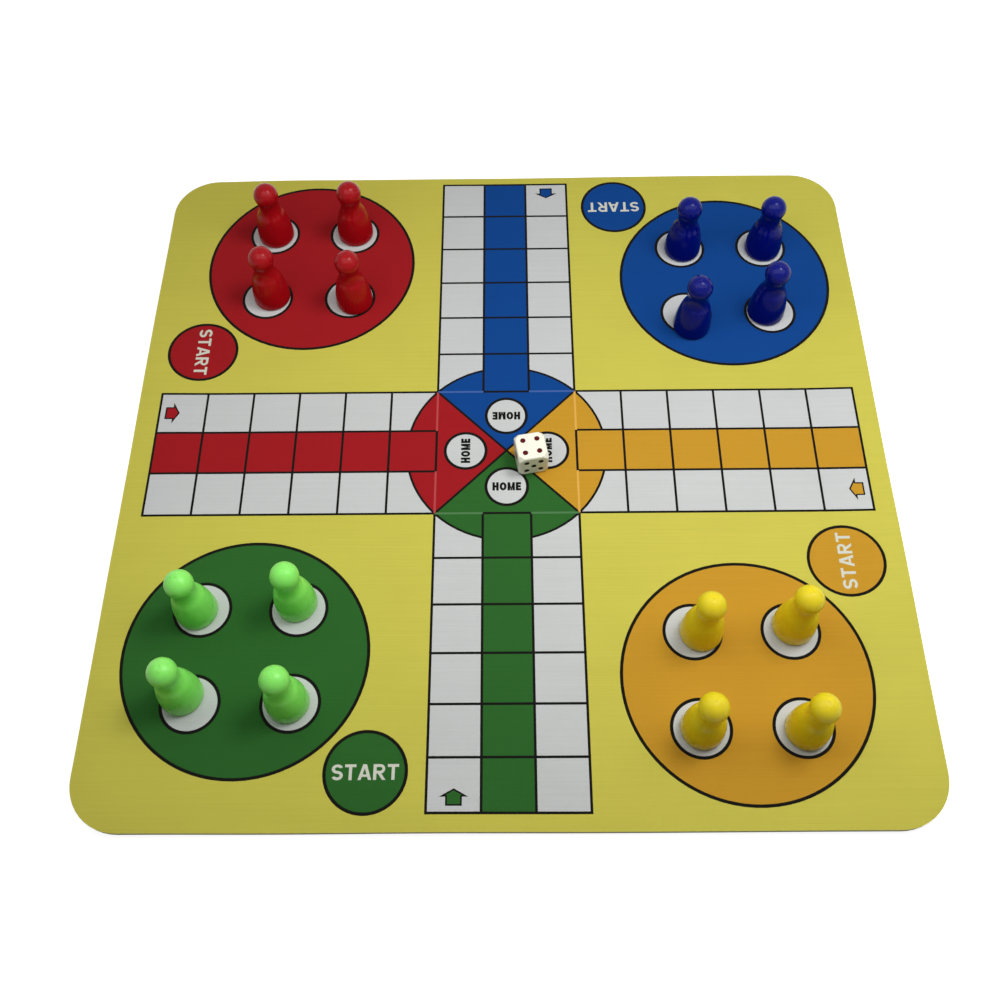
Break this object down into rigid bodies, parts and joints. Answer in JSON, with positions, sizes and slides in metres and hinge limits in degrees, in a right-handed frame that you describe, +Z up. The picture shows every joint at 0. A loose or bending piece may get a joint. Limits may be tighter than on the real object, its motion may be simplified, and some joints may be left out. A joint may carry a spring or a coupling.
{
  "type": "ludo mat game set",
  "caption": "Ludo set: a cloth-faced rubber mat printed with a cross track and four yards, with ball-headed pawns in four colours and a dotted die.",
  "frame": {"origin": "centre of the mat's underside, at the table", "axes": "+X to the right across the mat along its longer side, +Y away from the green player, +Z up"},
  "size_m": [0.254, 0.248, 0.0276],
  "materials": {
    "rubber": "matte, fine waffle on the underside",
    "cloth": "smooth fine white knit",
    "dye_yellow": "yellow dye in the knitted cloth",
    "dye_green": "green dye in the knitted cloth",
    "dye_red": "red dye in the knitted cloth",
    "dye_blue": "blue dye in the knitted cloth",
    "dye_orange": "orange dye in the knitted cloth",
    "dye_black": "black dye in the knitted cloth",
    "red_plastic": "moulded, semi-gloss",
    "blue_plastic": "moulded, semi-gloss",
    "green_plastic": "moulded, semi-gloss",
    "yellow_plastic": "moulded, semi-gloss",
    "white_plastic": "polished",
    "red_paint": "paint in the pips",
    "black_paint": "paint in the pips"
  },
  "bodies": {
    "mat": {"rubber_base": "rubber", "cloth_face": "cloth", "print_yellow": "dye_yellow", "print_green": "dye_green", "print_red": "dye_red", "print_blue": "dye_blue", "print_orange": "dye_orange", "print_black": "dye_black"},
    "red_pawn_1": {"red_pawn_1": "red_plastic"},
    "red_pawn_2": {"red_pawn_2": "red_plastic"},
    "red_pawn_3": {"red_pawn_3": "red_plastic"},
    "red_pawn_4": {"red_pawn_4": "red_plastic"},
    "blue_pawn_1": {"blue_pawn_1": "blue_plastic"},
    "blue_pawn_2": {"blue_pawn_2": "blue_plastic"},
    "blue_pawn_3": {"blue_pawn_3": "blue_plastic"},
    "blue_pawn_4": {"blue_pawn_4": "blue_plastic"},
    "green_pawn_1": {"green_pawn_1": "green_plastic"},
    "green_pawn_2": {"green_pawn_2": "green_plastic"},
    "green_pawn_3": {"green_pawn_3": "green_plastic"},
    "green_pawn_4": {"green_pawn_4": "green_plastic"},
    "yellow_pawn_1": {"yellow_pawn_1": "yellow_plastic"},
    "yellow_pawn_2": {"yellow_pawn_2": "yellow_plastic"},
    "yellow_pawn_3": {"yellow_pawn_3": "yellow_plastic"},
    "yellow_pawn_4": {"yellow_pawn_4": "yellow_plastic"},
    "die": {"die": "white_plastic", "pip_paint_1": "red_paint", "pip_paint_2": "black_paint", "pip_paint_3": "black_paint", "pip_paint_4": "red_paint", "pip_paint_5": "black_paint", "pip_paint_6": "black_paint"}
  },
  "joints": [
    {"name": "red_pawn_1_lift", "type": "slide", "parent": "mat", "child": "red_pawn_1", "axis": [0, 0, 1], "range_m": [0, 0.04]},
    {"name": "red_pawn_2_lift", "type": "slide", "parent": "mat", "child": "red_pawn_2", "axis": [0, 0, 1], "range_m": [0, 0.04]},
    {"name": "red_pawn_3_lift", "type": "slide", "parent": "mat", "child": "red_pawn_3", "axis": [0, 0, 1], "range_m": [0, 0.04]},
    {"name": "red_pawn_4_lift", "type": "slide", "parent": "mat", "child": "red_pawn_4", "axis": [0, 0, 1], "range_m": [0, 0.04]},
    {"name": "blue_pawn_1_lift", "type": "slide", "parent": "mat", "child": "blue_pawn_1", "axis": [0, 0, 1], "range_m": [0, 0.04]},
    {"name": "blue_pawn_2_lift", "type": "slide", "parent": "mat", "child": "blue_pawn_2", "axis": [0, 0, 1], "range_m": [0, 0.04]},
    {"name": "blue_pawn_3_lift", "type": "slide", "parent": "mat", "child": "blue_pawn_3", "axis": [0, 0, 1], "range_m": [0, 0.04]},
    {"name": "blue_pawn_4_lift", "type": "slide", "parent": "mat", "child": "blue_pawn_4", "axis": [0, 0, 1], "range_m": [0, 0.04]},
    {"name": "green_pawn_1_lift", "type": "slide", "parent": "mat", "child": "green_pawn_1", "axis": [0, 0, 1], "range_m": [0, 0.04]},
    {"name": "green_pawn_2_lift", "type": "slide", "parent": "mat", "child": "green_pawn_2", "axis": [0, 0, 1], "range_m": [0, 0.04]},
    {"name": "green_pawn_3_lift", "type": "slide", "parent": "mat", "child": "green_pawn_3", "axis": [0, 0, 1], "range_m": [0, 0.04]},
    {"name": "green_pawn_4_lift", "type": "slide", "parent": "mat", "child": "green_pawn_4", "axis": [0, 0, 1], "range_m": [0, 0.04]},
    {"name": "yellow_pawn_1_lift", "type": "slide", "parent": "mat", "child": "yellow_pawn_1", "axis": [0, 0, 1], "range_m": [0, 0.04]},
    {"name": "yellow_pawn_2_lift", "type": "slide", "parent": "mat", "child": "yellow_pawn_2", "axis": [0, 0, 1], "range_m": [0, 0.04]},
    {"name": "yellow_pawn_3_lift", "type": "slide", "parent": "mat", "child": "yellow_pawn_3", "axis": [0, 0, 1], "range_m": [0, 0.04]},
    {"name": "yellow_pawn_4_lift", "type": "slide", "parent": "mat", "child": "yellow_pawn_4", "axis": [0, 0, 1], "range_m": [0, 0.04]},
    {"name": "die_lift", "type": "slide", "parent": "mat", "child": "die", "axis": [0, 0, 1], "range_m": [0, 0.04]}
  ]
}
